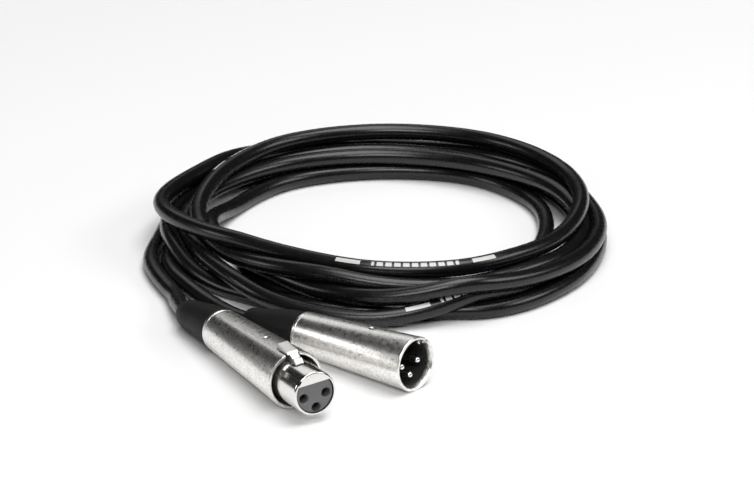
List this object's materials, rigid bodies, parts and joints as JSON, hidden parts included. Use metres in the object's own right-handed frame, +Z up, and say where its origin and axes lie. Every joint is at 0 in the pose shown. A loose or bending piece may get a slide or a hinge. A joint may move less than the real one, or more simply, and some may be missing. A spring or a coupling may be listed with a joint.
{
  "type": "coiled XLR microphone cable",
  "caption": "Coiled black microphone cable with a latching female connector on one end and a keyed male connector on the other.",
  "frame": {"origin": "centre of the whole object's box, on the floor that the coil and both connectors lie on", "axes": "+Z up; +X along the male connector, out of its cup; the coil lies towards +Y and both connectors towards -Y"},
  "size_m": [0.1854, 0.2296, 0.0219],
  "materials": {
    "satin_nickel": "satin",
    "bright_nickel": "polished",
    "contact_metal": "polished",
    "spring_steel": "satin",
    "grey_plastic": "matte",
    "black_plastic": "matte",
    "boot_rubber": "matte",
    "cable_jacket": "soft gloss",
    "clamp_plastic": "matte",
    "red_insulation": "soft gloss",
    "white_insulation": "soft gloss",
    "bare_copper": "bright"
  },
  "bodies": {
    "cable": {"female_shell": "satin_nickel", "female_nose": "bright_nickel", "female_insulator": "grey_plastic", "female_socket_1": "contact_metal", "female_socket_2": "contact_metal", "female_socket_3": "contact_metal", "latch_pin": "spring_steel", "latch_spring": "spring_steel", "female_set_screw": "spring_steel", "female_clamp_upper": "clamp_plastic", "female_clamp_lower": "clamp_plastic", "female_boot": "boot_rubber", "female_wire_hot": "red_insulation", "female_wire_cold": "white_insulation", "female_wire_drain": "bare_copper", "female_lead": "cable_jacket", "cable_coil": "cable_jacket", "male_lead": "cable_jacket", "male_shell": "satin_nickel", "male_insulator": "black_plastic", "male_pin_1": "contact_metal", "male_pin_2": "contact_metal", "male_pin_3": "contact_metal", "male_set_screw": "spring_steel", "male_clamp_upper": "clamp_plastic", "male_clamp_lower": "clamp_plastic", "male_boot": "boot_rubber", "male_wire_hot": "red_insulation", "male_wire_cold": "white_insulation", "male_wire_drain": "bare_copper"},
    "latch": {"female_latch": "bright_nickel"}
  },
  "joints": [
    {"name": "latch_press", "type": "hinge", "parent": "cable", "child": "latch", "pos_m": [0.05843, -0.09819, 0.01554], "axis": [0.3528, 0.9308, 0.0958], "range_deg": [0, 5], "stiffness_Nm_per_rad": 0.02, "springref_deg": -5.73, "deforming": ["latch_spring"]}
  ]
}
